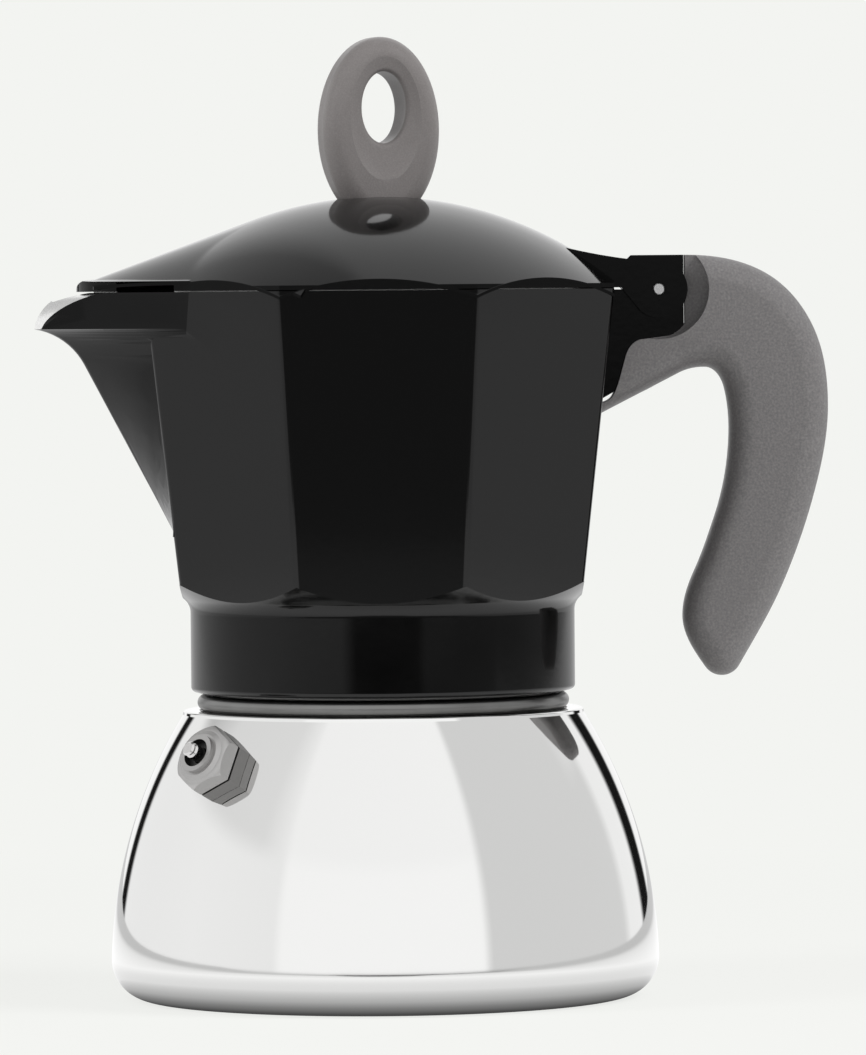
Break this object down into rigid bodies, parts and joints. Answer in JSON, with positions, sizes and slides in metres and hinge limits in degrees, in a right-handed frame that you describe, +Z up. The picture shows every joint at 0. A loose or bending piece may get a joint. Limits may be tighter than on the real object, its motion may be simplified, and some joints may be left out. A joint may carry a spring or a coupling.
{
  "type": "moka pot",
  "caption": "Stove-top moka pot: round steel-clad boiler with safety valve, lift-out coffee funnel, octagonal pouring jug that unscrews, hinged lid with ring knob and a hooked grip.",
  "frame": {"origin": "centre of the boiler's flat base, on the surface it stands on", "axes": "+Z up along the boiler's axis, +X towards the handle, the spout points along -X"},
  "size_m": [0.1585, 0.1096, 0.192],
  "materials": {
    "mirror_steel": "polished",
    "cast_aluminium": "satin",
    "spun_aluminium": "satin",
    "enamelled_aluminium": "gloss",
    "grey_soft_plastic": "matte",
    "grey_knob_plastic": "satin",
    "nickel_brass": "polished",
    "dark_steel": "satin",
    "spring_steel": "satin",
    "white_rubber": "matte",
    "black_rubber": "matte"
  },
  "bodies": {
    "boiler": {"boiler_shell": "mirror_steel", "boiler_liner": "cast_aluminium", "valve_boss": "dark_steel", "valve_washer": "black_rubber", "valve_body": "nickel_brass", "valve_seat": "nickel_brass", "valve_spring": "spring_steel"},
    "valve_plunger": {"valve_stem": "nickel_brass"},
    "funnel": {"funnel_basket": "spun_aluminium", "funnel_tube": "spun_aluminium", "funnel_sieve": "spun_aluminium"},
    "gasket_ring": {"gasket": "white_rubber"},
    "filter": {"filter_plate": "spun_aluminium"},
    "collector": {"collector_body": "enamelled_aluminium", "handle": "grey_soft_plastic", "handle_screw": "spring_steel", "hinge_pin": "spring_steel"},
    "lid_group": {"lid": "enamelled_aluminium", "knob": "grey_knob_plastic", "knob_washer": "spring_steel", "knob_screw": "spring_steel"}
  },
  "joints": [
    {"name": "valve_slide", "type": "slide", "parent": "boiler", "child": "valve_plunger", "axis": [-0.6317, -0.6428, 0.4334], "range_m": [0, 0.0012], "stiffness_N_per_m": 600, "deforming": ["valve_spring"]},
    {"name": "funnel_lift", "type": "slide", "parent": "boiler", "child": "funnel", "axis": [0, 0, 1], "range_m": [0, 0.08]},
    {"name": "upper_lift", "type": "slide", "parent": "funnel", "child": "gasket_ring", "axis": [0, 0, 1], "range_m": [0, 0.06]},
    {"name": "thread_rise", "type": "slide", "parent": "gasket_ring", "child": "filter", "axis": [0, 0, 1], "range_m": [0, 0.006]},
    {"name": "upper_turn", "type": "hinge", "parent": "filter", "child": "collector", "pos_m": [0, 0, 0.07], "axis": [0, 0, 1], "range_deg": [0, 720]},
    {"name": "lid_hinge", "type": "hinge", "parent": "collector", "child": "lid_group", "pos_m": [0.0556, 0, 0.14122], "axis": [0, 1, 0], "range_deg": [0, 95]}
  ],
  "couplings": [
    {"joint": "thread_rise", "follows": "upper_turn", "m_per_rad": 0.00047746}
  ]
}
